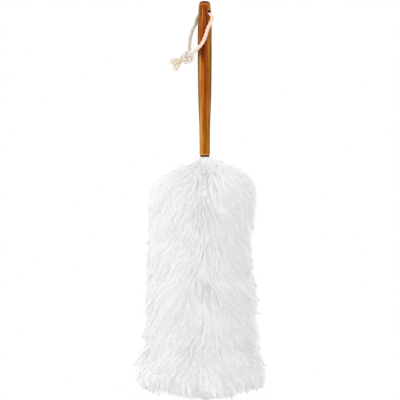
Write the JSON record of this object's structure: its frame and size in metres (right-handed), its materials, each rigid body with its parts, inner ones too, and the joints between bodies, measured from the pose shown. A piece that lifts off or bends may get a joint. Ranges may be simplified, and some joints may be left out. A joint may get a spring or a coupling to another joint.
{
  "type": "microfiber duster",
  "caption": "Long-handled duster: turned wooden handle, soft drooping microfibre pile on a twisted wire core, and a knotted hanging cord.",
  "frame": {"origin": "middle of the handle's length, on its axis, where the hand holds it", "axes": "+Z along the handle towards the butt with the pile hanging towards -Z; -Y is the front, where the cord crosses the handle; +X is to the right seen from the front"},
  "size_m": [0.1881, 0.1838, 0.6008],
  "materials": {
    "oiled_wood": "turned hardwood with streaky grain and a satin oil finish",
    "wire_steel": "plain drawn steel wire",
    "pile_white": "soft white microfibre strands",
    "cord_cotton": "twisted natural cotton"
  },
  "bodies": {
    "duster": {"handle": "oiled_wood", "core_wire": "wire_steel", "pile_tier_01": "pile_white", "pile_tier_02": "pile_white", "pile_tier_03": "pile_white", "pile_tier_04": "pile_white", "pile_tier_05": "pile_white", "pile_tier_06": "pile_white", "pile_tier_07": "pile_white", "pile_tier_08": "pile_white", "pile_tier_09": "pile_white", "pile_tier_10": "pile_white", "pile_end_tuft": "pile_white"},
    "hang_loop": {"cord_front_fall": "cord_cotton", "cord_back_fall": "cord_cotton", "cord_knot": "cord_cotton", "cord_tail_upper": "cord_cotton", "cord_tail_lower": "cord_cotton"}
  },
  "joints": [
    {"name": "loop_swing", "type": "hinge", "parent": "duster", "child": "hang_loop", "pos_m": [0, 0, 0.098], "axis": [-0.8, 0.6, 0], "range_deg": [0, 324]}
  ]
}
